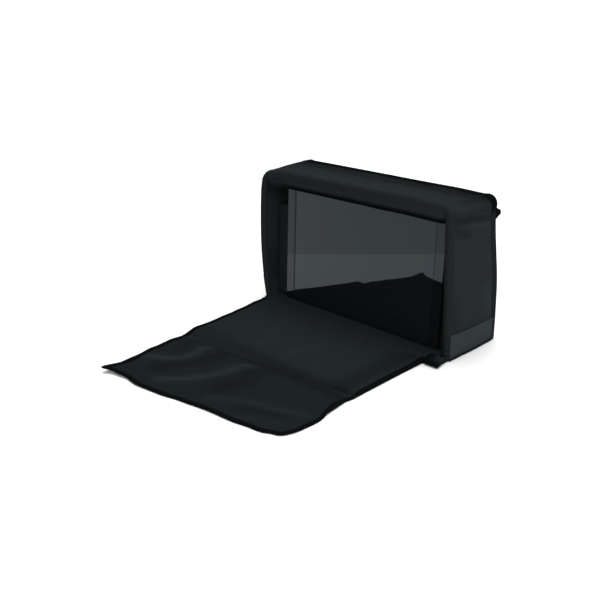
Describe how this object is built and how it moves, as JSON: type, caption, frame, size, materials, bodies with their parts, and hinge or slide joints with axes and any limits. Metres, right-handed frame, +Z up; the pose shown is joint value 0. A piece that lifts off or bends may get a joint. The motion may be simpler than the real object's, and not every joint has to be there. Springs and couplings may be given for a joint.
{
  "type": "padded viewing bag",
  "caption": "Padded black fabric box bag, open at the front, with a leaning glossy pane, a fold-down flap with a soft tongue that closes over front and top, and a zipped rear panel.",
  "frame": {"origin": "centre of the case's base, on the floor", "axes": "+X right seen from the front, +Y from the front opening towards the rear panel, +Z up"},
  "size_m": [0.472, 0.5762, 0.2815],
  "materials": {
    "shell_fabric": "coarse plain-weave nylon, matte black",
    "lining_fabric": "fine tricot over thin foam, matte black",
    "foam": "closed-cell foam, dark grey",
    "board": "flat polymer board, black",
    "binding_tape": "ribbed grosgrain tape, black",
    "scuff_fabric": "coated heavy nylon, charcoal with a soft sheen",
    "hook_and_loop": "hook and loop tape, black",
    "pane": "polished, near black",
    "surround": "polished, near black, like the pane",
    "zip_plastic": "moulded nylon teeth, black",
    "zip_metal": "painted die casting, satin black"
  },
  "bodies": {
    "case": {"base_cover": "shell_fabric", "base_board": "board", "base_foam": "foam", "base_lining": "lining_fabric", "left_side_cover": "shell_fabric", "left_side_foam": "foam", "left_side_lining": "lining_fabric", "right_side_cover": "shell_fabric", "right_side_foam": "foam", "right_side_lining": "lining_fabric", "top_cover": "shell_fabric", "top_foam": "foam", "top_lining": "lining_fabric", "header_cover": "shell_fabric", "header_foam": "foam", "header_lining": "lining_fabric", "front_binding": "binding_tape", "rear_binding": "binding_tape", "left_scuff_band": "scuff_fabric", "right_scuff_band": "scuff_fabric", "loop_strip": "hook_and_loop", "left_zip_tab": "binding_tape", "right_zip_tab": "binding_tape", "case_zip_tape": "binding_tape", "case_zip_teeth": "zip_plastic", "pane": "pane", "pane_surround": "surround", "left_pane_block": "foam", "right_pane_block": "foam", "left_hook_patch": "hook_and_loop", "right_hook_patch": "hook_and_loop"},
    "rear_panel": {"rear_panel_cover": "shell_fabric", "rear_panel_foam": "foam", "rear_panel_lining": "lining_fabric", "rear_hinge_piping": "binding_tape", "rear_zip_tape": "binding_tape", "rear_zip_teeth": "zip_plastic"},
    "zip_slider": {"zip_slider": "zip_metal"},
    "zip_pull": {"zip_pull": "zip_metal"},
    "flap": {"flap_cover": "shell_fabric", "flap_board": "board", "flap_foam": "foam", "flap_lining": "lining_fabric", "flap_hinge_piping": "binding_tape", "flap_riser": "lining_fabric", "flap_left_binding": "binding_tape", "flap_right_binding": "binding_tape"},
    "tongue": {"tongue_sheet": "lining_fabric", "tongue_binding": "binding_tape", "hook_strip": "hook_and_loop"}
  },
  "joints": [
    {"name": "flap_fold", "type": "hinge", "parent": "case", "child": "flap", "pos_m": [0, -0.0735, 0.0104], "axis": [-1, 0, 0], "range_deg": [0, 92.35]},
    {"name": "tongue_fold", "type": "hinge", "parent": "flap", "child": "tongue", "pos_m": [0, -0.34602, 0.0028], "axis": [-1, 0, 0], "range_deg": [0, 87.65]},
    {"name": "rear_panel_swing", "type": "hinge", "parent": "case", "child": "rear_panel", "pos_m": [0, 0.075, 0.265], "axis": [1, 0, 0], "range_deg": [0, 170]},
    {"name": "zip_slide", "type": "slide", "parent": "rear_panel", "child": "zip_slider", "axis": [0, 0, -1], "range_m": [0, 0.19]},
    {"name": "pull_swing", "type": "hinge", "parent": "zip_slider", "child": "zip_pull", "pos_m": [-0.21975, 0.08048, 0.227], "axis": [1, 0, 0], "range_deg": [0, 170]}
  ]
}
